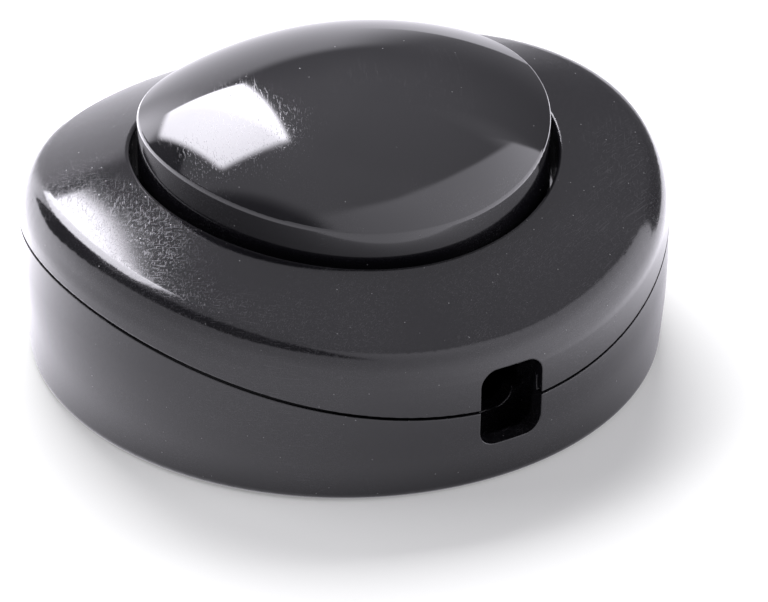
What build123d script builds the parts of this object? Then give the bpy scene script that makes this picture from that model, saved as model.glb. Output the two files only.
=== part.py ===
from build123d import *
import os
from math import cos, radians, sin, sqrt, tan

# A round in-line foot switch for a lamp cord. A flat-bottomed base and a deep cover meet on a
# parting line that dips at the two cord entries and rises between them. A domed button fills the
# cover's round hole. Pressing it drives a ratchet rotor that carries a four-armed contact.
# Frame: origin at the middle of the underside, +Z up, cord running along Y, front entry at -Y.
# All sizes are in millimetres.

# Casing: overall form
body_diameter = 62.0
foot_diameter = 60.6
flare_height = 11.0
draft = 0.25
base_edge_radius = 0.9
parting_height = 8.2
parting_rise = 6.6
cover_height = 22.4
crown_fall_along_cord = 8.5
crown_fall_across_cord = 3.7
shoulder_radius = 3.5
hole_edge_radius = 0.35

# Casing: walls and the joint between the shells
wall = 1.8
floor = 2.0
reveal = 0.35
lip_height = 1.6
lip_thickness = 0.8
lip_clearance = 0.12
gusset_count = 6
gusset_thickness = 1.2
gusset_bottom = 14.8
gusset_wall_gap = 1.0

# Button
button_diameter = 39.2
button_gap = 0.75
button_top_height = 29.4
dome_radius_along_cord = 29.0
dome_radius_across_cord = 41.0
button_edge_radius = 0.45
dome_overrun = 2.0
button_wall = 1.8
dome_wall = 2.0
button_travel = 3.5
flange_overlap = 1.45
flange_thickness = 1.5
flange_gap = 0.1
collar_bottom = 14.5
collar_wall = 1.85
button_rib_count = 8
button_rib_thickness = 1.2
button_rib_bottom = 21.6

# Cord entries and clamps
entry_width = 6.6
entry_height = 8.2
entry_corner_radius = 1.7
entry_centre_height = 8.55
cord_diameter = 6.5
clamp_wall_gap = 2.6
clamp_depth = 4.0
clamp_length = 18.6
clamp_seat_height = 9.4
clamp_ear_thickness = 1.8
clamp_arch_thickness = 1.5
clamp_end_radius = 1.2
clamp_screw_offset = 6.7
clamp_boss_diameter = 4.6
cradle_height = 6.2
cradle_thickness = 1.6

# Casing screws, entering from below
screw_ring_inset = 5.7
screw_angle = 30.0
boss_diameter = 6.0
boss_joint_height = 9.0
boss_joint_gap = 0.1
counterbore_diameter = 5.6
counterbore_depth = 3.2
counterbore_wall = 1.0
counterbore_floor = 1.4

# Self-tapping screws shared by the casing and the clamps, and all cross recesses
screw_diameter = 2.9
screw_head_diameter = 5.2
screw_head_height = 1.8
screw_fit = 0.04
screw_clearance = 0.15
recess_width_share = 0.14
recess_length_share = 0.56
recess_depth_share = 0.5
head_slope_share = 0.45
tip_slope_share = 0.3
casing_screw_length = 12.0
clamp_screw_length = 7.4
screw_tip_room = 0.6

# Switch well in the base
well_radius = 12.5
well_wall = 1.5
well_top = 14.6
ledge_top = 5.0
ledge_inner_radius = 5.0
detent_count = 8
detent_depth = 0.3
detent_width = 1.6
detent_overrun = 0.4
pin_diameter = 3.0
pin_bottom = 0.9
pin_tail = 0.8
pin_fit = 0.02
pin_boss_radius = 4.0
pin_boss_top = 4.4

# Contact star and its spring
star_bottom = 5.9
star_thickness = 0.5
star_hub_radius = 6.3
star_arm_width = 3.2
star_well_gap = 1.5
star_arm_count = 4
dimple_radius = 1.0
dimple_end_gap = 1.8
dimple_drop = 0.7
dimple_taper = 25.0
contact_wire = 0.5
contact_coil_radius = 5.65
contact_turns = 2.5

# Ratchet rotor
bore_clearance = 0.06
hub_square = 6.9
hub_square_clearance = 0.1
hub_square_corner = 0.6
hub_foot_gap = 0.1
disc_bottom = 9.0
disc_thickness = 1.4
disc_well_gap = 2.1
tooth_count = 8
tooth_height = 3.2
tooth_outer_radius = 7.6
tooth_land_angle = 4.0
hub_radius = 3.4
turn_per_press = 30.0
washer_diameter = 6.2
washer_thickness = 0.4
washer_gap = 0.1
washer_slot_count = 6
washer_slot_width = 0.35
washer_slot_length = 0.8

# Button stem with its driving wedges
stem_radius = 8.2
stem_wall = 1.6
stem_bore_radius = 4.2
stem_ring_thickness = 1.8
wedge_inner_radius = 4.5
wedge_outer_radius = 7.5
wedge_count = 2
wedge_angle = 90.0
wedge_height = 3.4
wedge_rest_gap = 0.5
wedge_land_angle = 3.0
flank_angle_gap = 3.2
key_width = 2.4
key_thickness = 1.2
key_inner_gap = 0.3
key_clearance = 0.2

# Guide plate and its screws
plate_thickness = 1.6
plate_rim_depth = 1.2
plate_rim_width = 0.9
plate_rim_clearance = 0.1
plate_ear_radius = 2.4
plate_screw_offset = 2.3
plate_screw_diameter = 2.2
plate_screw_head_diameter = 3.9
plate_screw_head_height = 1.3
plate_screw_length = 6.0

# Return spring
spring_wire = 1.2
spring_coil_radius = 10.35
spring_turns = 3.25
spring_seat_height = 25.0
spring_seat_wall = 0.9
spring_seat_clearance = 0.15
spring_seat_lip = 1.8
wire_sides = 8

# Terminals
terminal_width = 6.0
terminal_height = 6.0
terminal_edge = 0.4
line_terminal_length = 7.0
line_terminal_offset = 14.6
neutral_terminal_length = 16.0
neutral_terminal_offset = 18.5
neutral_screw_pitch = 10.0
wire_hole_diameter = 3.0
wire_hole_height = 2.4
terminal_screw_diameter = 3.0
terminal_screw_head_diameter = 4.6
terminal_screw_head_height = 1.1
terminal_screw_length = 2.9
terminal_screw_slot = 0.6
terminal_screw_slot_depth = 0.6
terminal_screw_head_edge = 0.28
tongue_width = 4.0
tongue_thickness = 0.8
tongue_inner_radius = 7.2
tongue_fit = 0.1
contact_angle = 135.0
pocket_wall = 1.0
pocket_height = 0.8
pocket_clearance = 0.15

# Values worked out from those above
reach = 45.0
body_radius = body_diameter / 2
foot_radius = foot_diameter / 2
lip_outer_radius = body_radius - wall + lip_thickness
button_radius = button_diameter / 2
hole_radius = button_radius + button_gap
collar_radius = hole_radius + collar_wall
gusset_end_radius = body_radius - wall - gusset_wall_gap
flange_radius = hole_radius + flange_overlap
flange_top = collar_bottom - flange_gap
skirt_bottom = flange_top - flange_thickness
clamp_inner_face = body_radius - wall - clamp_wall_gap - clamp_depth
clamp_middle = clamp_inner_face + clamp_depth / 2
clamp_ear_top = clamp_seat_height + clamp_ear_thickness
cord_radius = cord_diameter / 2
screw_ring_radius = body_radius - screw_ring_inset
screw_radius = screw_diameter / 2
clearance_radius = screw_radius + screw_clearance
pilot_radius = screw_radius + screw_fit
pin_radius = pin_diameter / 2
star_arm_radius = well_radius - star_well_gap
dimple_ring_radius = star_arm_radius - dimple_end_gap
disc_radius = well_radius - disc_well_gap
plate_screw_ring = well_radius + plate_screw_offset
disc_top = disc_bottom + disc_thickness
tooth_top = disc_top + tooth_height
washer_bottom = tooth_top + washer_gap
pin_top = washer_bottom + washer_thickness + pin_tail
wedge_tip = tooth_top + wedge_rest_gap
stem_ring_bottom = wedge_tip + wedge_height
turn_per_mm = turn_per_press / button_travel
plate_top = well_top + plate_thickness
plate_radius = well_radius + well_wall
spring_seat_inner = spring_coil_radius - spring_wire / 2 - spring_seat_clearance
spring_pocket_radius = spring_coil_radius + spring_wire / 2 + spring_seat_clearance
spring_seat_outer = spring_pocket_radius + spring_seat_wall
key_inner_radius = tooth_outer_radius + key_inner_gap
key_outer_radius = key_inner_radius + key_thickness
tongue_bottom = ledge_top - tongue_thickness
terminal_top = floor + terminal_height
line_terminal_spots = [(-line_terminal_offset, side * line_terminal_offset) for side in (-1, 1)]
neutral_screw_spots = [(neutral_terminal_offset, side * neutral_screw_pitch / 2) for side in (-1, 1)]
clamp_screw_x = (-clamp_screw_offset, clamp_screw_offset)
casing_screw_spots = [
    (
        across * screw_ring_radius * cos(radians(screw_angle)),
        along * screw_ring_radius * sin(radians(screw_angle)),
    )
    for across in (-1, 1)
    for along in (-1, 1)
]


def arc_radius(half_width, rise):
    """Radius of the arc that rises by the given height over half its width."""
    return (half_width**2 + rise**2) / (2 * rise)


def block_under_parting(height):
    """Block whose top dips across X and is lowest at x = 0, where it has the given height."""
    bend = arc_radius(body_radius, parting_rise)
    high = height + bend - sqrt(bend**2 - reach**2)
    with BuildPart() as block:
        with BuildSketch(Plane.XZ):
            with BuildLine():
                ThreePointArc((-reach, high), (0, height), (reach, high))
                Polyline((reach, high), (reach, -reach), (-reach, -reach), (-reach, high))
            make_face()
        extrude(amount=reach, both=True)
    return block.part


def barrel(height, along, across, half_length, shrink):
    """Barrel lying along X with its top at the given height, its surface moved in by shrink.

    along is the radius seen along X at the barrel's middle, across the radius seen along Y.
    """
    axis_height = height - along
    crown = height - shrink
    bulge = across - shrink
    shoulder = crown - bulge + sqrt(bulge**2 - half_length**2)
    with BuildPart() as form:
        with BuildSketch(Plane.XZ):
            with BuildLine():
                ThreePointArc((-half_length, shoulder), (0, crown), (half_length, shoulder))
                Polyline(
                    (half_length, shoulder),
                    (half_length, axis_height),
                    (-half_length, axis_height),
                    (-half_length, shoulder),
                )
            make_face()
        revolve(axis=Axis((0, 0, axis_height), (1, 0, 0)))
    return form.part


def casing_form(inset=0.0):
    """The casing's side wall as a solid of revolution: flared from the foot, then drafted."""
    wide = body_radius - inset
    foot = foot_radius - inset
    with BuildPart() as form:
        with BuildSketch(Plane.XZ):
            with BuildLine():
                TangentArc((wide, flare_height), (foot, 0), tangent=(0, -1))
                Polyline((foot, 0), (0, 0), (0, reach), (wide - draft, reach), (wide, flare_height))
            make_face()
        revolve(axis=Axis.Z)
    return form.part


def covered_form(inset=0.0):
    """Casing form closed by the barrel-shaped crown, with its rounded shoulder."""
    along = arc_radius(body_radius, crown_fall_along_cord)
    across = arc_radius(body_radius, crown_fall_across_cord)
    crown = barrel(cover_height, along, across, body_radius + wall, inset)
    with BuildPart() as form:
        add(casing_form(inset))
        add(crown, mode=Mode.INTERSECT)
        top_face = form.faces().sort_by(Axis.Z)[-1]
        fillet(top_face.edges(), radius=shoulder_radius - inset)
    return form.part


def cylinder_under_parting(radius, height):
    """Cylinder from the floor up to the parting surface's shape at the given height."""
    with BuildPart() as part:
        with BuildSketch(Plane.XY.offset(floor)):
            Circle(radius)
        extrude(amount=reach)
        add(block_under_parting(height), mode=Mode.INTERSECT)
    return part.part


def dome_form(shrink=0.0):
    """Barrel whose upper side is the button's dome, moved inwards by shrink."""
    return barrel(
        button_top_height,
        dome_radius_along_cord,
        dome_radius_across_cord,
        flange_radius + dome_overrun,
        shrink,
    )


def entry_cutter():
    """Rounded rectangle through both end walls, stopping at the clamps' inner faces."""
    with BuildPart() as cutter:
        with BuildSketch(Plane.XZ):
            with Locations((0, entry_centre_height)):
                RectangleRounded(entry_width, entry_height, entry_corner_radius)
        extrude(amount=reach, both=True)
        with BuildSketch(Plane.XY):
            Circle(clamp_inner_face)
        extrude(amount=reach, mode=Mode.SUBTRACT)
    return cutter.part


def radial_tooth(inner, outer, outline):
    """Tooth about angle 0 with faces that point at the axis; outline holds (angle, height)."""
    with BuildPart() as tooth:
        for distance in (inner / 2, outer * 1.1):
            with BuildSketch(Plane(origin=(distance, 0, 0), x_dir=(0, 1, 0), z_dir=(1, 0, 0))):
                with BuildLine():
                    corners = [(distance * tan(radians(angle)), height) for angle, height in outline]
                    Polyline(*corners, close=True)
                make_face()
        loft(ruled=True)
        with BuildSketch(Plane.XY):
            Circle(outer)
            Circle(inner, mode=Mode.SUBTRACT)
        extrude(amount=reach, mode=Mode.INTERSECT)
    return tooth.part


def pan_screw(diameter, head_diameter, head_height, seat, length, points_up):
    """Self-tapping screw whose pan head, with a crossed recess, seats at the given height."""
    way = 1 if points_up else -1
    recess_width = head_diameter * recess_width_share
    recess_length = head_diameter * recess_length_share
    with BuildPart() as screw:
        with BuildSketch(Plane.XY.offset(seat)):
            Circle(diameter / 2)
        extrude(amount=way * length)
        tip = screw.edges().sort_by(Axis.Z)[-1 if points_up else 0]
        chamfer(tip, length=diameter * tip_slope_share)
        with BuildSketch(Plane.XY.offset(seat)):
            Circle(head_diameter / 2)
        extrude(amount=-way * head_height)
        rim = screw.edges().sort_by(Axis.Z)[0 if points_up else -1]
        chamfer(rim, length=head_height * head_slope_share)
        with BuildSketch(Plane.XY.offset(seat - way * head_height)):
            Rectangle(recess_width, recess_length)
            Rectangle(recess_length, recess_width)
        extrude(amount=way * head_height * recess_depth_share, mode=Mode.SUBTRACT)
    return screw.part


def tapping_screw(seat, length, points_up):
    """The size of self-tapping screw that the casing and the clamps share."""
    return pan_screw(screw_diameter, screw_head_diameter, screw_head_height, seat, length, points_up)


def slotted_screw():
    """Terminal screw with a slotted cheese head that seats on top of its terminal."""
    with BuildPart() as screw:
        with BuildSketch(Plane.XY.offset(terminal_top)):
            Circle(terminal_screw_diameter / 2)
        extrude(amount=-terminal_screw_length)
        with BuildSketch(Plane.XY.offset(terminal_top)):
            Circle(terminal_screw_head_diameter / 2)
        extrude(amount=terminal_screw_head_height)
        chamfer(screw.edges().sort_by(Axis.Z)[-1], length=terminal_screw_head_edge)
        with BuildSketch(Plane.XY.offset(terminal_top + terminal_screw_head_height)):
            Rectangle(terminal_screw_slot, reach)
        extrude(amount=-terminal_screw_slot_depth, mode=Mode.SUBTRACT)
    return screw.part


def coil_spring(coil_radius, wire, turns, bottom, top):
    """Eight-sided wire helix whose ends are ground flat on its two seats."""
    height = top - bottom
    with BuildPart() as spring:
        with BuildLine() as route:
            Helix(pitch=height / turns, height=height, radius=coil_radius, center=(0, 0, bottom))
        coil = route.line
        with BuildSketch(Plane(origin=coil @ 0, x_dir=(1, 0, 0), z_dir=coil % 0)):
            RegularPolygon(wire / 2, wire_sides)
        sweep(path=coil, is_frenet=True)
        with BuildSketch(Plane.XY.offset(bottom)):
            Circle(coil_radius + wire)
        extrude(amount=height, mode=Mode.INTERSECT)
    return spring.part


def cord_clamp(side):
    """Bridge over the cord at one end wall, with an ear for a screw on each side."""
    middle = Plane(origin=(0, side * clamp_middle, 0), x_dir=(1, 0, 0), z_dir=(0, -1, 0))
    with BuildPart() as clamp:
        with BuildSketch(middle):
            with Locations((0, clamp_seat_height + clamp_ear_thickness / 2)):
                Rectangle(clamp_length, clamp_ear_thickness)
            with Locations((0, entry_centre_height)):
                Circle(cord_radius + clamp_arch_thickness)
            with Locations((0, clamp_seat_height)):
                Rectangle(reach, reach, align=(Align.CENTER, Align.MAX), mode=Mode.SUBTRACT)
            with Locations((0, entry_centre_height)):
                Circle(cord_radius, mode=Mode.SUBTRACT)
        extrude(amount=clamp_depth / 2, both=True)
        ends = clamp.faces().filter_by(Axis.X).group_by(lambda face: abs(face.center().X))[-1]
        fillet(ends.edges().filter_by(Axis.Z), radius=clamp_end_radius)
        with BuildSketch(Plane.XY.offset(clamp_seat_height)):
            with Locations(*[(x, side * clamp_middle) for x in clamp_screw_x]):
                Circle(clearance_radius)
        extrude(amount=clamp_ear_thickness, mode=Mode.SUBTRACT)
    return clamp.part


def clamp_screws(side):
    """The pair of screws that pull one clamp down onto its bosses."""
    with BuildPart() as pair:
        with Locations(*[(x, side * clamp_middle) for x in clamp_screw_x]):
            add(tapping_screw(clamp_ear_top, clamp_screw_length, points_up=False))
    return pair.part


def terminal_block(spot, length, screw_spots):
    """Brass block with a wire hole along Y and a tapped hole above it at each screw."""
    with BuildPart() as block:
        with BuildSketch(Plane.XY.offset(floor)):
            with Locations(spot):
                Rectangle(terminal_width, length)
        extrude(amount=terminal_height)
        chamfer(block.edges().filter_by(Axis.Z), length=terminal_edge)
        with BuildSketch(Plane.XZ):
            with Locations((spot[0], floor + wire_hole_height)):
                Circle(wire_hole_diameter / 2)
        extrude(amount=reach, both=True, mode=Mode.SUBTRACT)
        with BuildSketch(Plane.XY.offset(floor + wire_hole_height)):
            with Locations(*screw_spots):
                Circle(terminal_screw_diameter / 2 + screw_fit)
        extrude(amount=terminal_height, mode=Mode.SUBTRACT)
    return block.part


def line_terminal(spot, angle):
    """Terminal block with a flat tongue that reaches in under the contact star."""
    block_distance = line_terminal_offset * sqrt(2)
    tongue_plane = Plane.XY.offset(tongue_bottom).rotated((0, 0, angle))
    with BuildPart() as terminal:
        add(terminal_block(spot, line_terminal_length, [spot]))
        with BuildSketch(tongue_plane):
            with Locations((tongue_inner_radius, 0)):
                Rectangle(
                    block_distance - tongue_inner_radius - terminal_width / 2,
                    tongue_width,
                    align=(Align.MIN, Align.CENTER),
                )
        extrude(amount=tongue_thickness)
    return terminal.part


def is_hole_mouth(edge):
    """True for the edges where the button's hole meets the cover's top."""
    middle = edge.position_at(0.5)
    on_hole = abs(sqrt(middle.X**2 + middle.Y**2) - hole_radius) < hole_edge_radius / 10
    return on_hole and middle.Z > collar_bottom + wall


# Base: flared outside, hollow inside, with a lip that stands up into the cover
with BuildPart() as cavity:
    add(casing_form(wall))
    split(bisect_by=Plane.XY.offset(floor), keep=Keep.TOP)

with BuildPart() as base_shell:
    add(casing_form())
    foot_edge = base_shell.edges().filter_by(GeomType.CIRCLE).sort_by(Axis.Z)[0]
    fillet(foot_edge, radius=base_edge_radius)
    add(block_under_parting(parting_height), mode=Mode.INTERSECT)
    add(cylinder_under_parting(lip_outer_radius, parting_height + lip_height))
    add(cavity.part, mode=Mode.SUBTRACT)

    # Switch well with its ledge, the pin's boss and the two pillars for the guide plate
    with BuildSketch(Plane.XY.offset(floor)):
        Circle(plate_radius)
        Circle(well_radius, mode=Mode.SUBTRACT)
        with Locations((0, -plate_screw_ring), (0, plate_screw_ring)):
            Circle(plate_ear_radius)
    extrude(amount=well_top - floor)
    with BuildSketch(Plane.XY.offset(floor)):
        Circle(well_radius + well_wall / 2)
        Circle(ledge_inner_radius, mode=Mode.SUBTRACT)
    extrude(amount=ledge_top - floor)
    with BuildSketch(Plane.XY.offset(floor)):
        Circle(pin_boss_radius)
    extrude(amount=pin_boss_top - floor)
    with BuildSketch(Plane.XY.offset(ledge_top)):
        groove_start = ledge_inner_radius - detent_width
        groove_end = star_arm_radius + detent_overrun
        with PolarLocations((groove_start + groove_end) / 2, detent_count):
            Rectangle(groove_end - groove_start, detent_width)
    extrude(amount=-detent_depth, mode=Mode.SUBTRACT)
    for angle in (contact_angle, -contact_angle):
        with BuildSketch(Plane.XY.offset(tongue_bottom).rotated((0, 0, angle))):
            with Locations((tongue_inner_radius - tongue_fit, 0)):
                Rectangle(
                    plate_radius, tongue_width + 2 * tongue_fit, align=(Align.MIN, Align.CENTER)
                )
        extrude(amount=tongue_thickness + tongue_fit, mode=Mode.SUBTRACT)

    # Low walls that hold the terminals in place
    for spot, length in [
        *[(spot, line_terminal_length) for spot in line_terminal_spots],
        ((neutral_terminal_offset, 0), neutral_terminal_length),
    ]:
        around = 2 * (pocket_clearance + pocket_wall)
        with BuildSketch(Plane.XY.offset(floor)):
            with Locations(spot):
                Rectangle(terminal_width + around, length + around)
                Rectangle(
                    terminal_width + 2 * pocket_clearance,
                    length + 2 * pocket_clearance,
                    mode=Mode.SUBTRACT,
                )
        extrude(amount=pocket_height)

    # Screw bosses for the casing and the clamps
    with BuildSketch(Plane.XY.offset(floor)):
        with Locations(*casing_screw_spots):
            Circle(counterbore_diameter / 2 + counterbore_wall)
    extrude(amount=counterbore_depth + counterbore_floor - floor)
    with BuildSketch(Plane.XY.offset(floor)):
        with Locations(*casing_screw_spots):
            Circle(boss_diameter / 2)
    extrude(amount=boss_joint_height - floor)
    for side in (-1, 1):
        with BuildSketch(Plane.XY.offset(floor)):
            with Locations(*[(x, side * clamp_middle) for x in clamp_screw_x]):
                Circle(clamp_boss_diameter / 2)
        extrude(amount=clamp_seat_height - floor)
        with BuildSketch(Plane(origin=(0, side * clamp_middle, 0), x_dir=(1, 0, 0), z_dir=(0, -1, 0))):
            with Locations((0, floor)):
                Rectangle(
                    2 * clamp_screw_offset, cradle_height - floor, align=(Align.CENTER, Align.MIN)
                )
            with Locations((0, entry_centre_height)):
                Circle(cord_radius, mode=Mode.SUBTRACT)
        extrude(amount=cradle_thickness / 2, both=True)
        with BuildSketch(Plane.XY.offset(clamp_ear_top - clamp_screw_length - screw_tip_room)):
            with Locations(*[(x, side * clamp_middle) for x in clamp_screw_x]):
                Circle(pilot_radius)
        extrude(amount=reach, mode=Mode.SUBTRACT)

    # Cord entries, pin bore and screw holes
    add(entry_cutter(), mode=Mode.SUBTRACT)
    with BuildSketch(Plane.XY.offset(pin_bottom)):
        Circle(pin_radius + pin_fit)
    extrude(amount=reach, mode=Mode.SUBTRACT)
    with BuildSketch(Plane.XY.offset(plate_top - plate_screw_length - screw_tip_room)):
        with Locations((0, -plate_screw_ring), (0, plate_screw_ring)):
            Circle(plate_screw_diameter / 2 + screw_fit)
    extrude(amount=reach, mode=Mode.SUBTRACT)
    with BuildSketch(Plane.XY):
        with Locations(*casing_screw_spots):
            Circle(counterbore_diameter / 2)
    extrude(amount=counterbore_depth, mode=Mode.SUBTRACT)
    with BuildSketch(Plane.XY):
        with Locations(*casing_screw_spots):
            Circle(clearance_radius)
    extrude(amount=reach, mode=Mode.SUBTRACT)

# Cover's inner furniture: collar that guides the button, screw bosses and gussets
with BuildPart() as cover_furniture:
    with BuildSketch(Plane.XY.offset(collar_bottom)):
        Circle(collar_radius)
    extrude(amount=reach)
    with BuildSketch(Plane.XY.offset(gusset_bottom)):
        with PolarLocations((hole_radius + gusset_end_radius) / 2, gusset_count):
            Rectangle(gusset_end_radius - hole_radius, gusset_thickness)
    extrude(amount=reach)
    with BuildSketch(Plane.XY.offset(boss_joint_height + boss_joint_gap)):
        with Locations(*casing_screw_spots):
            Circle(boss_diameter / 2)
    extrude(amount=reach)
    add(covered_form(wall / 2), mode=Mode.INTERSECT)

with BuildPart() as top_shell:
    add(covered_form())
    add(covered_form(wall), mode=Mode.SUBTRACT)
    add(block_under_parting(parting_height + reveal), mode=Mode.SUBTRACT)
    add(
        cylinder_under_parting(
            lip_outer_radius + lip_clearance, parting_height + lip_height + lip_clearance
        ),
        mode=Mode.SUBTRACT,
    )
    add(cover_furniture.part)
    with BuildSketch(Plane.XY):
        Circle(hole_radius)
    extrude(amount=reach, mode=Mode.SUBTRACT)
    fillet(top_shell.edges().filter_by(is_hole_mouth), radius=hole_edge_radius)
    with BuildSketch(Plane.XY):
        with Locations(*casing_screw_spots):
            Circle(pilot_radius)
    extrude(amount=counterbore_depth + casing_screw_length + screw_tip_room, mode=Mode.SUBTRACT)
    add(entry_cutter(), mode=Mode.SUBTRACT)

# Button: domed top on a skirt whose flange catches under the cover's collar
with BuildPart() as button_hollow:
    with BuildSketch(Plane.XY.offset(skirt_bottom)):
        Circle(button_radius - button_wall)
    extrude(amount=reach)
    add(dome_form(dome_wall), mode=Mode.INTERSECT)

with BuildPart() as button_furniture:
    with BuildSketch(Plane.XY.offset(button_rib_bottom)):
        with PolarLocations((spring_pocket_radius + button_radius) / 2, button_rib_count):
            Rectangle(button_radius - spring_pocket_radius - button_wall / 2, button_rib_thickness)
        Circle(spring_pocket_radius, mode=Mode.SUBTRACT)
    extrude(amount=reach)
    with BuildSketch(Plane.XY.offset(spring_seat_height - spring_seat_lip)):
        Circle(spring_seat_outer)
        Circle(spring_pocket_radius, mode=Mode.SUBTRACT)
    extrude(amount=reach)
    with BuildSketch(Plane.XY.offset(spring_seat_height)):
        Circle(spring_seat_outer)
        Circle(spring_seat_inner, mode=Mode.SUBTRACT)
    extrude(amount=reach)
    with BuildSketch(Plane.XY.offset(stem_ring_bottom)):
        Circle(stem_radius)
        Circle(stem_bore_radius, mode=Mode.SUBTRACT)
    extrude(amount=reach)
    with BuildSketch(Plane.XY.offset(wedge_tip)):
        with PolarLocations((key_inner_radius + key_outer_radius) / 2, wedge_count):
            Rectangle(key_thickness, key_width)
    extrude(amount=reach)
    with BuildSketch(Plane.XY.offset(stem_ring_bottom + stem_ring_thickness)):
        Circle(stem_radius - stem_wall)
    extrude(amount=reach, mode=Mode.SUBTRACT)
    add(dome_form(dome_wall / 2), mode=Mode.INTERSECT)

wedge_span = turn_per_mm * wedge_height + wedge_land_angle
tooth_span = turn_per_mm * tooth_height + tooth_land_angle
wedge_outline = [
    (-wedge_span / 2, stem_ring_bottom + stem_ring_thickness / 2),
    (-wedge_span / 2, wedge_tip),
    (-wedge_span / 2 + wedge_land_angle, wedge_tip),
    (wedge_span / 2, stem_ring_bottom),
    (wedge_span / 2, stem_ring_bottom + stem_ring_thickness / 2),
]
tooth_outline = [
    (-tooth_span / 2, disc_top - disc_thickness / 2),
    (-tooth_span / 2, disc_top),
    (tooth_span / 2 - tooth_land_angle, tooth_top),
    (tooth_span / 2, tooth_top),
    (tooth_span / 2, disc_top - disc_thickness / 2),
]

with BuildPart() as push_button:
    with BuildSketch(Plane.XY.offset(skirt_bottom)):
        Circle(button_radius)
    extrude(amount=reach)
    add(dome_form(), mode=Mode.INTERSECT)
    fillet(push_button.faces().sort_by(Axis.Z)[-1].edges(), radius=button_edge_radius)
    with BuildSketch(Plane.XY.offset(skirt_bottom)):
        Circle(flange_radius)
    extrude(amount=flange_thickness)
    add(button_hollow.part, mode=Mode.SUBTRACT)
    add(button_furniture.part)
    with PolarLocations(0, wedge_count, start_angle=wedge_angle):
        add(radial_tooth(wedge_inner_radius, wedge_outer_radius, wedge_outline))

# Rotor: square hub through the contact star, disc, and a crown of saw teeth
with BuildPart() as ratchet_rotor:
    with BuildSketch(Plane.XY.offset(pin_boss_top + hub_foot_gap)):
        RectangleRounded(hub_square, hub_square, hub_square_corner)
    extrude(amount=disc_bottom - pin_boss_top - hub_foot_gap)
    with BuildSketch(Plane.XY.offset(disc_bottom)):
        Circle(disc_radius)
    extrude(amount=disc_thickness)
    with BuildSketch(Plane.XY.offset(disc_top)):
        Circle(hub_radius)
    extrude(amount=tooth_height)
    rise = turn_per_mm * (wedge_tip - disc_top)
    lead = (tooth_span - wedge_span) / 2 + wedge_land_angle - rise + flank_angle_gap
    with PolarLocations(0, tooth_count, start_angle=wedge_angle + lead):
        add(radial_tooth(hub_radius - bore_clearance, tooth_outer_radius, tooth_outline))
    with BuildSketch(Plane.XY):
        Circle(pin_radius + bore_clearance)
    extrude(amount=reach, mode=Mode.SUBTRACT)

# Contact star with a coined pip under the end of each arm
with BuildPart() as contact_star:
    with BuildSketch(Plane.XY.offset(star_bottom)):
        Circle(star_hub_radius)
        for arm in range(star_arm_count // 2):
            turn = contact_angle + arm * 360 / star_arm_count
            SlotOverall(2 * star_arm_radius, star_arm_width, rotation=turn)
        hole = hub_square + 2 * hub_square_clearance
        RectangleRounded(hole, hole, hub_square_corner, mode=Mode.SUBTRACT)
    extrude(amount=star_thickness)
    with BuildSketch(Plane.XY.offset(star_bottom)):
        with PolarLocations(dimple_ring_radius, star_arm_count, start_angle=contact_angle):
            Circle(dimple_radius)
    extrude(amount=-dimple_drop, taper=dimple_taper)

# Springs, pin and washer
with BuildPart() as contact_spring:
    add(
        coil_spring(
            contact_coil_radius, contact_wire, contact_turns, star_bottom + star_thickness, disc_bottom
        )
    )

with BuildPart() as return_spring:
    add(coil_spring(spring_coil_radius, spring_wire, spring_turns, plate_top, spring_seat_height))

with BuildPart() as pivot_pin:
    with BuildSketch(Plane.XY.offset(pin_bottom)):
        Circle(pin_radius)
    extrude(amount=pin_top - pin_bottom)
    chamfer(pivot_pin.edges().filter_by(GeomType.CIRCLE), length=pin_radius / 5)

with BuildPart() as retaining_washer:
    with BuildSketch(Plane.XY.offset(washer_bottom)):
        Circle(washer_diameter / 2)
        Circle(pin_radius + pin_fit, mode=Mode.SUBTRACT)
        with PolarLocations(pin_radius + washer_slot_length / 2, washer_slot_count):
            Rectangle(washer_slot_length, washer_slot_width, mode=Mode.SUBTRACT)
    extrude(amount=washer_thickness)

# Guide plate: closes the well and keeps the button's keys from turning
with BuildPart() as guide_plate:
    with BuildSketch(Plane.XY.offset(well_top)):
        Circle(plate_radius)
        with Locations((0, -plate_screw_ring), (0, plate_screw_ring)):
            Circle(plate_ear_radius)
    extrude(amount=plate_thickness)
    rim_radius = well_radius - plate_rim_clearance
    with BuildSketch(Plane.XY.offset(well_top - plate_rim_depth)):
        Circle(rim_radius)
        Circle(rim_radius - plate_rim_width, mode=Mode.SUBTRACT)
    extrude(amount=plate_rim_depth)
    with BuildSketch(Plane.XY.offset(well_top)):
        Circle(stem_radius + key_clearance)
        Rectangle(2 * (key_outer_radius + key_clearance), key_width + 2 * key_clearance)
        with Locations((0, -plate_screw_ring), (0, plate_screw_ring)):
            Circle(plate_screw_diameter / 2 + screw_clearance)
    extrude(amount=plate_thickness, mode=Mode.SUBTRACT)

with BuildPart() as guide_plate_screws:
    with Locations((0, -plate_screw_ring), (0, plate_screw_ring)):
        add(
            pan_screw(
                plate_screw_diameter,
                plate_screw_head_diameter,
                plate_screw_head_height,
                plate_top,
                plate_screw_length,
                points_up=False,
            )
        )

# Terminals and their screws
with BuildPart() as line_in_terminal:
    add(line_terminal(line_terminal_spots[0], -contact_angle))

with BuildPart() as line_out_terminal:
    add(line_terminal(line_terminal_spots[1], contact_angle))

with BuildPart() as neutral_terminal:
    add(terminal_block((neutral_terminal_offset, 0), neutral_terminal_length, neutral_screw_spots))

with BuildPart() as line_terminal_screws:
    with Locations(*line_terminal_spots):
        add(slotted_screw())

with BuildPart() as neutral_terminal_screws:
    with Locations(*neutral_screw_spots):
        add(slotted_screw())

# Cord clamps and the remaining screws
with BuildPart() as front_cord_clamp:
    add(cord_clamp(-1))

with BuildPart() as rear_cord_clamp:
    add(cord_clamp(1))

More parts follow.
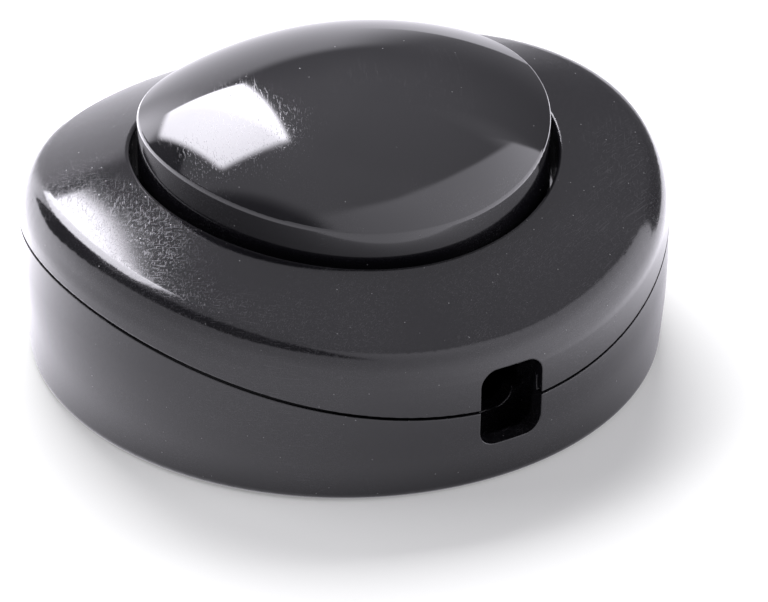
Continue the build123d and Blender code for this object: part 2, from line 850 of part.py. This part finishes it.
with BuildPart() as front_clamp_screws:
    add(clamp_screws(-1))

with BuildPart() as rear_clamp_screws:
    add(clamp_screws(1))

with BuildPart() as casing_screws:
    with Locations(*casing_screw_spots):
        add(tapping_screw(counterbore_depth, casing_screw_length, points_up=True))

base_shell.part.label = "base_shell"
top_shell.part.label = "top_shell"
push_button.part.label = "push_button"
return_spring.part.label = "return_spring"
guide_plate.part.label = "guide_plate"
guide_plate_screws.part.label = "guide_plate_screws"
ratchet_rotor.part.label = "ratchet_rotor"
contact_star.part.label = "contact_star"
contact_spring.part.label = "contact_spring"
pivot_pin.part.label = "pivot_pin"
retaining_washer.part.label = "retaining_washer"
line_in_terminal.part.label = "line_in_terminal"
line_out_terminal.part.label = "line_out_terminal"
neutral_terminal.part.label = "neutral_terminal"
line_terminal_screws.part.label = "line_terminal_screws"
neutral_terminal_screws.part.label = "neutral_terminal_screws"
front_cord_clamp.part.label = "front_cord_clamp"
rear_cord_clamp.part.label = "rear_cord_clamp"
front_clamp_screws.part.label = "front_clamp_screws"
rear_clamp_screws.part.label = "rear_clamp_screws"
casing_screws.part.label = "casing_screws"

os.makedirs("parts", exist_ok=True)
export_step(base_shell.part, "parts/base_shell.step")
export_step(top_shell.part, "parts/top_shell.step")
export_step(push_button.part, "parts/push_button.step")
export_step(return_spring.part, "parts/return_spring.step")
export_step(guide_plate.part, "parts/guide_plate.step")
export_step(guide_plate_screws.part, "parts/guide_plate_screws.step")
export_step(ratchet_rotor.part, "parts/ratchet_rotor.step")
export_step(contact_star.part, "parts/contact_star.step")
export_step(contact_spring.part, "parts/contact_spring.step")
export_step(pivot_pin.part, "parts/pivot_pin.step")
export_step(retaining_washer.part, "parts/retaining_washer.step")
export_step(line_in_terminal.part, "parts/line_in_terminal.step")
export_step(line_out_terminal.part, "parts/line_out_terminal.step")
export_step(neutral_terminal.part, "parts/neutral_terminal.step")
export_step(line_terminal_screws.part, "parts/line_terminal_screws.step")
export_step(neutral_terminal_screws.part, "parts/neutral_terminal_screws.step")
export_step(front_cord_clamp.part, "parts/front_cord_clamp.step")
export_step(rear_cord_clamp.part, "parts/rear_cord_clamp.step")
export_step(front_clamp_screws.part, "parts/front_clamp_screws.step")
export_step(rear_clamp_screws.part, "parts/rear_clamp_screws.step")
export_step(casing_screws.part, "parts/casing_screws.step")
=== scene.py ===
# %% [markdown]
# # A lamp's foot switch in black moulded plastic
#
# The real thing is a round switch that lies on the floor, half-way along a lamp's cord. Two glossy black
# shells close on a parting line that dips at each cord entry, and a big domed button fills the cover.
# Almost everything that the eye reads on it is reflection: near-black plastic has hardly any colour of
# its own. So this lesson spends its effort on two things: plastic with the small marks that real
# mouldings pick up, and a studio worth reflecting.
#
# The CAD model gives every size. It is loaded as a fixed frame, and nothing here moves it.

# %% Load the frame
import math

import bmesh
import bpy
import numpy as np
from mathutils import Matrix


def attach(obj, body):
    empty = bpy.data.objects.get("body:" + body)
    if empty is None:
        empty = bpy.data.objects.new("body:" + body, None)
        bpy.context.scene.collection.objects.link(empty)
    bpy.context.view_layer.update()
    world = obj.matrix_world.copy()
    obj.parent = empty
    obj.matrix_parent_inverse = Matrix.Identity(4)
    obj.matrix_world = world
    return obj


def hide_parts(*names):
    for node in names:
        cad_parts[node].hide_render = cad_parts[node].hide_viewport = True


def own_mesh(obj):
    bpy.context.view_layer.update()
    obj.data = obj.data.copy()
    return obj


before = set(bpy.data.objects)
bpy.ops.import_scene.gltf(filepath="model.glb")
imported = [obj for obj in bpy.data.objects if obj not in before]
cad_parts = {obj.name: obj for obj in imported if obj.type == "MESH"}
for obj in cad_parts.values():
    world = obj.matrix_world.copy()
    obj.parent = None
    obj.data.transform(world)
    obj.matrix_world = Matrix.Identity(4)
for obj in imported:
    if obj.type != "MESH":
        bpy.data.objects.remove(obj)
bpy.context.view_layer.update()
print("pieces on the frame:", len(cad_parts))

# %% [markdown]
# ## The camera
#
# The photograph looks down on the switch at about 32 degrees, from a little to the left of the front
# cord entry. Its horizontal lines hardly converge, so it was taken from well back with a long lens.
# A long lens in Blender is a narrow field of view: 281 mm on a 36 mm wide sensor. The camera's place is
# written as an aim point and a distance along the line of sight, and then nudged sideways and upwards
# by a few millimetres so that the object sits in the frame as it does in the photograph.

# %% Place the camera
view_azimuth = math.radians(-30.3)
view_elevation = math.radians(31.84)
view_distance = 0.57345
lens_length = 281.25
sensor_width = 36.0
view_nudge_right = 0.003785
view_nudge_up = -0.007679
aim_height = 0.012

to_camera = np.array([
    math.sin(view_azimuth) * math.cos(view_elevation),
    -math.cos(view_azimuth) * math.cos(view_elevation),
    math.sin(view_elevation),
])
to_right = np.array([math.cos(view_azimuth), math.sin(view_azimuth), 0.0])
to_top = np.cross(to_camera, to_right)

camera_data = bpy.data.cameras.new("camera")
camera_data.lens = lens_length
camera_data.sensor_width = sensor_width
camera_data.clip_start = 0.01
camera_data.clip_end = 20.0
camera = bpy.data.objects.new("camera", camera_data)
bpy.context.scene.collection.objects.link(camera)
camera.location = (
    np.array([0.0, 0.0, aim_height])
    + view_distance * to_camera
    + view_nudge_right * to_right
    + view_nudge_up * to_top
)
camera.rotation_euler = (math.pi / 2 - view_elevation, 0.0, view_azimuth)
bpy.context.scene.camera = camera
bpy.context.scene.view_settings.view_transform = "Standard"
print("camera stands at", [round(value, 4) for value in camera.location])

# %% [markdown]
# ## Small helpers for shader nodes
#
# Every finish below is a handful of shader nodes. A helper that makes a node, sets its properties and
# wires its inputs in one line keeps each recipe readable. An input may be a number, a colour or the
# output of another node.


# %% Helpers for node trees
def add_node(tree, kind, inputs=None, **settings):
    """Makes one shader node, sets its settings and fills or links the inputs given by name or number."""
    node = tree.nodes.new("ShaderNode" + kind)
    for name, value in settings.items():
        setattr(node, name, value)
    for key, value in (inputs or {}).items():
        if isinstance(value, bpy.types.NodeSocket):
            tree.links.new(value, node.inputs[key])
        else:
            node.inputs[key].default_value = value
    return node


def maths(tree, operation, first, second=0.0, clamp=False):
    """One Math node. Returns its output."""
    return add_node(tree, "Math", {0: first, 1: second}, operation=operation, use_clamp=clamp).outputs[0]


def remap(tree, value, low, high, start=0.0, end=1.0):
    """Smoothly carries a value in low..high to start..end and holds it at the ends."""
    ends = {"Value": value, 1: low, 2: high, 3: start, 4: end}
    return add_node(tree, "MapRange", ends, interpolation_type="SMOOTHSTEP").outputs["Result"]


def mix_values(tree, share, first, second):
    """Value that goes from the first to the second as the share goes from 0 to 1."""
    return add_node(tree, "Mix", {"Factor": share, "A": first, "B": second}, data_type="FLOAT").outputs[0]


def noise(tree, place, scale, detail=3.0, roughness=0.5, distortion=0.0):
    """Noise of about the given number of blotches per metre. Returns its factor."""
    pattern = {
        "Vector": place,
        "Scale": scale,
        "Detail": detail,
        "Roughness": roughness,
        "Distortion": distortion,
    }
    return add_node(tree, "TexNoise", pattern).outputs["Fac"]


def ray_kinds(tree):
    """Two outputs: 1 for the camera's own rays, and 1 for rays that are mirrored or go through glass."""
    rays = add_node(tree, "LightPath")
    mirrored = maths(tree, "MAXIMUM", rays.outputs["Is Glossy Ray"], rays.outputs["Is Transmission Ray"])
    return rays.outputs["Is Camera Ray"], mirrored


def new_material(name):
    """An empty material with a Principled shader. Returns the material, its tree, shader and place."""
    material = bpy.data.materials.new(name)
    material.use_nodes = True
    tree = material.node_tree
    tree.nodes.clear()
    shader = add_node(tree, "BsdfPrincipled", {"IOR": 1.5})
    output = add_node(tree, "OutputMaterial")
    tree.links.new(shader.outputs[0], output.inputs["Surface"])
    place = add_node(tree, "TexCoord").outputs["Object"]
    return material, tree, shader, place


# %% [markdown]
# ## The studio: a white table and three soft lamps
#
# A black glossy object shows its studio like a mirror. The lamps give the plain, soft light: a strong
# one behind, which throws the soft shadow forwards, and two weak ones, behind to the left and in front,
# which keep that shadow pale. The table is a white sheet. Its far edge is lost in white because the
# camera's own rays also see a little glow on it, while the shadow under the object stays.
#
# A direction in the studio is given by two angles, as a photographer would point: an azimuth round the
# object and an elevation above the table. One turn of a degree fits the whole studio to the photograph.


# %% Directions in the studio
studio_turn = 1.0


def towards(azimuth, elevation):
    """Unit vector for a compass azimuth, 0 in front and 90 to the right, and an elevation, in degrees."""
    a = math.radians(azimuth + studio_turn)
    e = math.radians(elevation)
    return np.array([math.sin(a) * math.cos(e), -math.cos(a) * math.cos(e), math.sin(e)])


# %% The lamps
def soft_lamp(name, azimuth, elevation, distance, width, height, power):
    """Rectangular lamp that looks at the object. It lights, but it is left out of reflections."""
    data = bpy.data.lights.new(name, "AREA")
    data.shape = "RECTANGLE"
    data.size = width
    data.size_y = height
    data.energy = power
    lamp = bpy.data.objects.new(name, data)
    bpy.context.scene.collection.objects.link(lamp)
    lamp.location = distance * towards(azimuth, elevation)
    lamp.rotation_euler = (math.radians(90.0 - elevation), 0.0, math.radians(azimuth))
    lamp.visible_glossy = False
    print(name, "at", [round(value, 2) for value in lamp.location], "power", power)


soft_lamp("back_lamp", azimuth=163.0, elevation=43.0, distance=1.6, width=1.0, height=1.0, power=35.0)
soft_lamp("left_lamp", azimuth=-132.0, elevation=42.0, distance=1.6, width=1.0, height=0.8, power=7.0)
soft_lamp("front_lamp", azimuth=35.0, elevation=40.0, distance=1.8, width=1.2, height=1.0, power=6.5)

# %% The white table
# It lies a hair below the object's flat underside, so that the two faces don't fight for one place.
table_size = 1.6
table_gap = 0.00005
table_colour = (0.80, 0.80, 0.805, 1.0)
table_camera_glow = 0.25

edge = table_size / 2
table_corners = [(-edge, -edge), (edge, -edge), (edge, edge), (-edge, edge)]
table_mesh = bpy.data.meshes.new("table")
table_mesh.from_pydata([(x, y, -table_gap) for x, y in table_corners], [], [(0, 1, 2, 3)])
table = bpy.data.objects.new("table", table_mesh)
bpy.context.scene.collection.objects.link(table)
paper = bpy.data.materials.new("white_paper")
paper.use_nodes = True
table_mesh.materials.append(paper)
print("table", table_size, "m wide")

# %% [markdown]
# ## The studio's reflections
#
# What the plastic mirrors is painted on the world around it. Low down there is a pale surround, with a
# bright patch behind to the left, another to the right and a dull gap between them, and the table
# carries all three on. Above it hangs a ceiling, grey to the right and nearly black to the left, with
# one big softbox behind the object. The ceiling's parts and the softbox are flat cards seen from the
# object. On a globe a straight edge is a great circle, so a direction is inside an edge when its dot
# product with that circle's pole is positive, and a card is the product of its edges. A soft edge is a
# slow ramp. A card must bulge outwards all round, so a ceiling with a corner cut into it is laid from
# several cards.
#
# Only mirrored rays see all this. Rays that light the object get a plain even sky, and the camera gets
# white.

# %% The pale surround and its two bright patches
surround_low = 2.05
surround_high = 1.55
gap_brightness = 1.30
gap_azimuth = 146.0
gap_edge_cosines = (0.84, 0.93)


def facing(tree, direction, azimuth):
    """Cosine between a direction's level part and an azimuth."""
    aim = tuple(towards(azimuth, 0.0))
    flat = add_node(tree, "VectorMath", {0: direction, 1: (1.0, 1.0, 0.0)}, operation="MULTIPLY")
    level = add_node(tree, "VectorMath", {0: flat.outputs["Vector"]}, operation="NORMALIZE")
    cosine = add_node(tree, "VectorMath", {0: level.outputs["Vector"], 1: aim}, operation="DOT_PRODUCT")
    return cosine.outputs["Value"]


def patch(tree, direction, azimuth, strength, reach, power):
    """Upright glow: strongest in its own azimuth, gone where the cosine falls to reach."""
    ends = {"Value": facing(tree, direction, azimuth), 1: reach, 2: 1.0, 3: 0.0, 4: 1.0}
    inside = add_node(tree, "MapRange", ends).outputs["Result"]
    return maths(tree, "MULTIPLY", maths(tree, "POWER", inside, power), strength)


def left_patch(tree, direction):
    """Glow behind to the left."""
    return patch(tree, direction, azimuth=204.0, strength=3.1, reach=0.0, power=4.2)


def right_patch(tree, direction):
    """Glow to the right."""
    return patch(tree, direction, azimuth=76.0, strength=2.55, reach=-0.2, power=2.0)


def horizon(tree, direction, plain, left_share=1.0, right_share=1.0):
    """Plain brightness with both patches, and a dull gap between them behind to the right."""
    left = maths(tree, "MULTIPLY", left_patch(tree, direction), left_share)
    right = maths(tree, "MULTIPLY", right_patch(tree, direction), right_share)
    bright = maths(tree, "ADD", plain, maths(tree, "ADD", left, right))
    gap = remap(tree, facing(tree, direction, gap_azimuth), *gap_edge_cosines)
    return mix_values(tree, gap, bright, gap_brightness)


# %% The cards of the ceiling and the softbox
def inside_edge(tree, direction, start, end, softness):
    """Ramp that is 1 to the left of the great circle from one direction to the next."""
    pole = np.cross(towards(*end), towards(*start))
    pole /= np.linalg.norm(pole)
    height = add_node(tree, "VectorMath", {0: direction, 1: tuple(pole)}, operation="DOT_PRODUCT")
    return remap(tree, height.outputs["Value"], -softness / 2, softness / 2)


def lay_card(tree, direction, below, brightness, corners, softness):
    """Lays a card over the brightness so far. Corners run anticlockwise as seen from the object."""
    mask = 1.0
    for index, (start, soft) in enumerate(zip(corners, softness)):
        end = corners[(index + 1) % len(corners)]
        mask = maths(tree, "MULTIPLY", inside_edge(tree, direction, start, end, soft), mask)
    return mix_values(tree, mask, below, brightness)


# Each card has its corners, as azimuth and elevation, and the softness of the edge that starts at each.
ceiling_cards = {
    "above": ([(200, 30), (97, 37), (83, 49), (67, 59), (44, 68), (11, 75), (300, 74), (215, 50)],
              [0.3, 0.03, 0.03, 0.04, 0.05, 0.1, 0.2, 0.3]),
    "right": ([(196, 26), (150, 17), (108, 2), (90, 6), (97, 38), (196, 60)],
              [0.14, 0.14, 0.06, 0.03, 0.3, 0.3]),
    "right_low": ([(144, -12), (97, -10), (91, 8), (97, 38), (150, 40)],
                  [0.1, 0.06, 0.03, 0.3, 0.2]),
}
dark_cards = {
    "dark_above": ([(358, 56), (300, 53), (250, 50), (206, 22), (214, 56), (352, 70)],
                   [0.10, 0.10, 0.12, 0.06, 0.10, 0.12]),
    "dark_low": ([(229, 38), (206, 16), (184, 9), (186, 40), (215, 52)],
                 [0.05, 0.05, 0.03, 0.03, 0.2]),
}
softbox = ([(175.3, 17.8), (166.1, 27), (170.3, 67), (203, 60.5), (183.7, 27)],
           [0.02, 0.02, 0.08, 0.03, 0.03])
ceiling_low = 0.33
ceiling_high = 1.12
dark_brightness = 0.20
softbox_low = 10.0
softbox_high = 17.0
softbox_hot_side = 1.5

# %% The world around the object
# The world isn't sampled as a lamp, because what lights the object is its even sky.
world = bpy.data.worlds.new("studio")
bpy.context.scene.world = world
world.use_nodes = True
world.cycles.sampling_method = "NONE"
tree = world.node_tree
tree.nodes.clear()
direction = add_node(tree, "TexCoord").outputs["Generated"]
height = add_node(tree, "SeparateXYZ", {"Vector": direction}).outputs["Z"]
reflected = horizon(
    tree, direction,
    plain=remap(tree, height, 0.2, 0.75, surround_low, surround_high),
    left_share=remap(tree, height, 0.1, 0.65, 1.0, 0.3),
    right_share=remap(tree, height, 0.38, 0.90, 1.0, 0.35),
)
ceiling = remap(tree, height, 0.25, 1.0, ceiling_low, ceiling_high)
for name, (corners, softness) in ceiling_cards.items():
    reflected = lay_card(tree, direction, reflected, ceiling, corners, softness)
    print("ceiling card", name, "with", len(corners), "edges")
for name, (corners, softness) in dark_cards.items():
    reflected = lay_card(tree, direction, reflected, dark_brightness, corners, softness)
    print("dark card", name, "with", len(corners), "edges")
softbox_brightness = remap(tree, height, 0.30, 0.85, softbox_low, softbox_high)
right_side = remap(tree, facing(tree, direction, 166.0), 0.985, 0.999, 1.0, softbox_hot_side)
softbox_brightness = maths(tree, "MULTIPLY", softbox_brightness, right_side)
reflected = lay_card(tree, direction, reflected, softbox_brightness, *softbox)

sky_light = 0.22
camera_white = 1.0
studio_tint = (1.0, 0.978, 1.065, 1.0)
from_camera, mirrored = ray_kinds(tree)
unseen = mix_values(tree, mirrored, sky_light, reflected)
strength = mix_values(tree, from_camera, unseen, camera_white)
background = add_node(tree, "Background", {"Color": studio_tint, "Strength": strength})
add_node(tree, "OutputWorld", {"Surface": background.outputs[0]})

# %% [markdown]
# ## The table's paper
#
# The wall of the base mirrors the table at its foot, so the paper too is painted for mirrored rays. Close
# to the object its glow is even and stronger behind to the left, further out it turns into the
# surround's patches, and right at the foot it falls off, as it does where an object shades its paper.

# %% Paint the paper
near_strength = 1.80
near_lean = 0.85
foot_share = 0.35

tree = paper.node_tree
tree.nodes.clear()
place = add_node(tree, "TexCoord").outputs["Object"]
distance = add_node(tree, "VectorMath", {0: place}, operation="LENGTH").outputs["Value"]
near_glow = maths(tree, "MULTIPLY", facing(tree, place, 225.0), near_lean)
near_glow = maths(tree, "ADD", near_glow, near_strength)
far_glow = horizon(tree, place, plain=surround_low)
table_glow = mix_values(tree, remap(tree, distance, 0.035, 0.056), near_glow, far_glow)
foot_shade = remap(tree, distance, 0.028, 0.0355, foot_share, 1.0)
table_glow = maths(tree, "MULTIPLY", table_glow, foot_shade)
diffuse = add_node(tree, "BsdfDiffuse", {"Color": table_colour})
camera_glow = add_node(tree, "Emission", {"Color": (1.0, 1.0, 1.0, 1.0), "Strength": table_camera_glow})
mirror_glow = add_node(tree, "Emission", {"Color": studio_tint, "Strength": table_glow})
lit = add_node(tree, "AddShader", {0: diffuse.outputs[0], 1: camera_glow.outputs[0]})
from_camera, mirrored = ray_kinds(tree)
seen = add_node(tree, "MixShader", {0: from_camera, 1: diffuse.outputs[0], 2: lit.outputs[0]})
paper_surface = add_node(tree, "MixShader", {0: mirrored, 1: seen.outputs[0], 2: mirror_glow.outputs[0]})
add_node(tree, "OutputMaterial", {"Surface": paper_surface.outputs[0]})

# %% [markdown]
# ## What glossy plastic really looks like
#
# A moulded shell copies the polish of its steel mould, so its reflections are nearly sharp. What tells it
# from a computed surface is what has happened to it since: a faint waviness from shrinking, a haze
# where hands and cloths have rubbed it, hair-fine arcs of scratches, and a few specks of dust. Each of
# these could be an image, but a pattern worked out from the object's own coordinates never stretches
# and never repeats. So there is one small function for each mark, and every finish picks from them.


# %% Marks that a surface picks up
def strokes(tree, place, turn, length, width, rare):
    """Mask of fine marks: noise drawn out to a length and width in metres, turned by an angle in degrees.

    A stroke is where the drawn-out noise rises above the value rare.
    """
    layout = {"Vector": place, "Rotation": (0.0, 0.0, math.radians(turn)), "Scale": (length, width, width)}
    laid = add_node(tree, "Mapping", layout, vector_type="TEXTURE").outputs[0]
    return remap(tree, noise(tree, laid, 1.0, detail=1.5, distortion=0.35), rare, rare + 0.05)


def rubbed(tree, place, scale, low, high):
    """Mask of the areas that have been touched: slow noise cut between low and high."""
    return remap(tree, noise(tree, place, scale, detail=2.0), low, high)


def specks(tree, place, spacing, size, share):
    """Mask of dust: a dot of the given size at the point of some of the cells of a Voronoi pattern.

    The cells are as wide as the spacing, in metres, and the share says how many of them have a dot.
    """
    cells = add_node(tree, "TexVoronoi", {"Vector": place, "Scale": 1.0 / spacing})
    dot = remap(tree, cells.outputs["Distance"], 0.5 * size / spacing, size / spacing, 1.0, 0.0)
    red = add_node(tree, "SeparateColor", {0: cells.outputs["Color"]}).outputs[0]
    return maths(tree, "MULTIPLY", dot, remap(tree, red, 1.0 - share, 1.0 - share + 0.02))


def blend(tree, mask, first, second):
    """Colour that goes from the first to the second as the mask goes from 0 to 1.

    A Mix node keeps its colour inputs at places 6 and 7, and its colour output at place 2.
    """
    return add_node(tree, "Mix", {"Factor": mask, 6: first, 7: second}, data_type="RGBA").outputs[2]


def bump(tree, height, depth, edge_radius=0.0):
    """Turns a height of 0 to 1 into a tilt of the surface, for a depth in metres.

    With an edge radius, the shading also rolls over sharp edges, as on a moulding they are never quite
    sharp.
    """
    node = add_node(tree, "Bump", {"Height": height, "Distance": depth, "Strength": 1.0})
    if edge_radius:
        rolled = add_node(tree, "Bevel", {"Radius": edge_radius}, samples=6)
        tree.links.new(rolled.outputs[0], node.inputs["Normal"])
    return node.outputs["Normal"]


def add_up(tree, *values):
    """Sum of several node outputs."""
    total = values[0]
    for value in values[1:]:
        total = maths(tree, "ADD", total, value)
    return total


def times(tree, value, factor):
    """A node output made larger or smaller."""
    return maths(tree, "MULTIPLY", value, factor)


# %% [markdown]
# ## The cover, the base and the button
#
# They are moulded in the same near-black plastic, which is very slightly violet. The shells have more
# haze and more scratches, because they lie on the floor and get wiped. Their scratches run in short
# arcs in several directions, as a cloth leaves them. The button is polished more, and shoes leave
# longer diagonal streaks across its dome.

# %% Shell plastic
black = (0.0068, 0.0064, 0.0086, 1.0)
black_rubbed = (0.0125, 0.0119, 0.0145, 1.0)
scratch_colour = (0.031, 0.030, 0.034, 1.0)
dust_colour = (0.16, 0.16, 0.165, 1.0)

shell_polish = 0.062
shell_specular = 0.37
shell_wave_depth = 0.000035
shell_edge_radius = 0.0002

casing, tree, shader, place = new_material("shell_gloss")
haze = rubbed(tree, place, 55.0, 0.42, 0.68)
worn = rubbed(tree, place, 70.0, 0.36, 0.60)
arcs = add_up(
    tree,
    strokes(tree, place, 25.0, 0.0034, 0.00009, 0.62),
    strokes(tree, place, 60.0, 0.0042, 0.00010, 0.63),
    strokes(tree, place, 140.0, 0.0030, 0.00008, 0.63),
)
arcs = maths(tree, "MULTIPLY", arcs, worn)
dust = specks(tree, place, 0.0010, 0.000085, 0.6)
grain = noise(tree, place, 2600.0, detail=3.0)
mottle = maths(tree, "MULTIPLY", add_up(tree, haze, remap(tree, grain, 0.42, 0.66)), 0.5)
colour = blend(tree, mottle, black, black_rubbed)
colour = blend(tree, arcs, colour, scratch_colour)
tree.links.new(blend(tree, dust, colour, dust_colour), shader.inputs["Base Color"])
roughness = add_up(
    tree,
    times(tree, haze, 0.035),
    times(tree, arcs, 0.06),
    times(tree, dust, 0.35),
    times(tree, grain, 0.03),
)
tree.links.new(maths(tree, "ADD", roughness, shell_polish), shader.inputs["Roughness"])
shader.inputs["Specular IOR Level"].default_value = shell_specular
waviness = noise(tree, place, 75.0, detail=1.0)
marks = maths(tree, "SUBTRACT", times(tree, dust, 0.25), times(tree, arcs, 0.03))
relief = add_up(tree, waviness, marks, times(tree, grain, 0.006))
tree.links.new(bump(tree, relief, shell_wave_depth, shell_edge_radius), shader.inputs["Normal"])
print("shell plastic has", len(tree.nodes), "nodes")

# %% Button plastic
button_polish = 0.042
button_wave_depth = 0.000025

button_gloss, tree, shader, place = new_material("button_gloss")
haze = rubbed(tree, place, 70.0, 0.45, 0.70)
worn = rubbed(tree, place, 60.0, 0.44, 0.60)
streaks = add_up(
    tree,
    strokes(tree, place, 62.0, 0.0060, 0.00016, 0.63),
    strokes(tree, place, 71.0, 0.0040, 0.00010, 0.64),
)
streaks = maths(tree, "MULTIPLY", streaks, worn)
dust = specks(tree, place, 0.0013, 0.000085, 0.5)
colour = blend(tree, haze, black, black_rubbed)
colour = blend(tree, streaks, colour, scratch_colour)
tree.links.new(blend(tree, dust, colour, dust_colour), shader.inputs["Base Color"])
roughness = add_up(tree, times(tree, haze, 0.025), times(tree, streaks, 0.09), times(tree, dust, 0.35))
tree.links.new(maths(tree, "ADD", roughness, button_polish), shader.inputs["Roughness"])
waviness = noise(tree, place, 60.0, detail=1.0)
relief = add_up(tree, waviness, times(tree, dust, 0.30), times(tree, streaks, -0.03))
tree.links.new(bump(tree, relief, button_wave_depth), shader.inputs["Normal"])
print("button plastic has", len(tree.nodes), "nodes")

# %% [markdown]
# ## The parts inside
#
# Nobody sees them until the switch is opened, but then each should be what it is. The cord clamps are a
# matt grey plastic. The rotor and the guide plate are natural nylon, milky enough to let light in. The
# terminals and the star are brass strip that has dulled in patches. The screws are steel under a bright
# zinc coat with a bluish bloom, and the springs are drawn wire, darker and smooth.

# %% Plastics inside
def matt_plastic(name, dark, light, patch_scale, pebble_scale, pebble_detail, roughness, depth):
    """Plastic with a slow change of tone and a pebbled surface. Roughness gives its lowest and highest."""
    material, tree, shader, place = new_material(name)
    tone = noise(tree, place, patch_scale, detail=2.0)
    pebble = noise(tree, place, pebble_scale, detail=pebble_detail)
    tree.links.new(blend(tree, tone, dark, light), shader.inputs["Base Color"])
    tree.links.new(remap(tree, pebble, 0.3, 0.7, *roughness), shader.inputs["Roughness"])
    tree.links.new(bump(tree, pebble, depth), shader.inputs["Normal"])
    print(name, "has", len(tree.nodes), "nodes")
    return material, shader


clamp_grey, _ = matt_plastic(
    "clamp_grey",
    dark=(0.15, 0.15, 0.155, 1.0), light=(0.20, 0.20, 0.20, 1.0), patch_scale=120.0,
    pebble_scale=4500.0, pebble_detail=2.0, roughness=(0.38, 0.52), depth=0.00003,
)
milky_nylon, nylon_shader = matt_plastic(
    "milky_nylon",
    dark=(0.72, 0.70, 0.62, 1.0), light=(0.78, 0.76, 0.70, 1.0), patch_scale=150.0,
    pebble_scale=3500.0, pebble_detail=1.0, roughness=(0.30, 0.40), depth=0.00001,
)
nylon_shader.inputs["Subsurface Weight"].default_value = 0.35
nylon_shader.inputs["Subsurface Radius"].default_value = (1.0, 0.9, 0.75)
nylon_shader.inputs["Subsurface Scale"].default_value = 0.0012


# %% Metals inside
def metal(name, clean, dulled, patch_scale, smooth, rough, line):
    """Metal with dulled patches and fine drawing lines. Line gives their turn, length and width."""
    material, tree, shader, place = new_material(name)
    dull = rubbed(tree, place, patch_scale, 0.40, 0.66)
    lines = strokes(tree, place, *line, rare=0.5)
    roughness = maths(tree, "ADD", remap(tree, dull, 0.0, 1.0, smooth, rough), times(tree, lines, 0.06))
    tree.links.new(blend(tree, dull, clean, dulled), shader.inputs["Base Color"])
    tree.links.new(roughness, shader.inputs["Roughness"])
    tree.links.new(bump(tree, lines, 0.000006), shader.inputs["Normal"])
    shader.inputs["Metallic"].default_value = 1.0
    print(name, "has", len(tree.nodes), "nodes")
    return material


brass = metal(
    "dulled_brass", clean=(0.79, 0.60, 0.30, 1.0), dulled=(0.60, 0.42, 0.19, 1.0), patch_scale=220.0,
    smooth=0.22, rough=0.36, line=(90.0, 0.004, 0.00008),
)
zinc = metal(
    "zinc_coat", clean=(0.70, 0.71, 0.73, 1.0), dulled=(0.55, 0.57, 0.62, 1.0), patch_scale=400.0,
    smooth=0.24, rough=0.34, line=(0.0, 0.002, 0.00006),
)
wire = metal(
    "drawn_wire", clean=(0.52, 0.51, 0.50, 1.0), dulled=(0.38, 0.37, 0.36, 1.0), patch_scale=300.0,
    smooth=0.18, rough=0.28, line=(45.0, 0.003, 0.00005),
)

# %% Give each CAD piece its finish
finishes = {
    "casing_plastic": casing,
    "button_plastic": button_gloss,
    "clamp_plastic": clamp_grey,
    "nylon": milky_nylon,
    "brass": brass,
    "zinc_steel": zinc,
    "spring_steel": wire,
}
for name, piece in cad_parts.items():
    for slot in piece.material_slots:
        slot.material = finishes[slot.name]
    print(name, "is finished in", [slot.material.name for slot in piece.material_slots])

# %% [markdown]
# ## The return spring
#
# When the button goes down, the real spring closes up between the guide plate and the button. A rigid
# spring would poke through the button instead. Here the mesh is a plain copy of the CAD spring with its
# loose triangles joined, given the drawn wire finish and hung on the casing, and the CAD piece is hidden.

# %% The coil
same_point = 1e-7
spring_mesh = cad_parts["return_spring"].data.copy()
joined = bmesh.new()
joined.from_mesh(spring_mesh)
bmesh.ops.remove_doubles(joined, verts=joined.verts, dist=same_point)
joined.to_mesh(spring_mesh)
joined.free()
coil = bpy.data.objects.new("return_spring_coil", spring_mesh)
bpy.context.scene.collection.objects.link(coil)
coil.material_slots[0].material = wire
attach(coil, "casing")
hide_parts("return_spring")
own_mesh(coil)
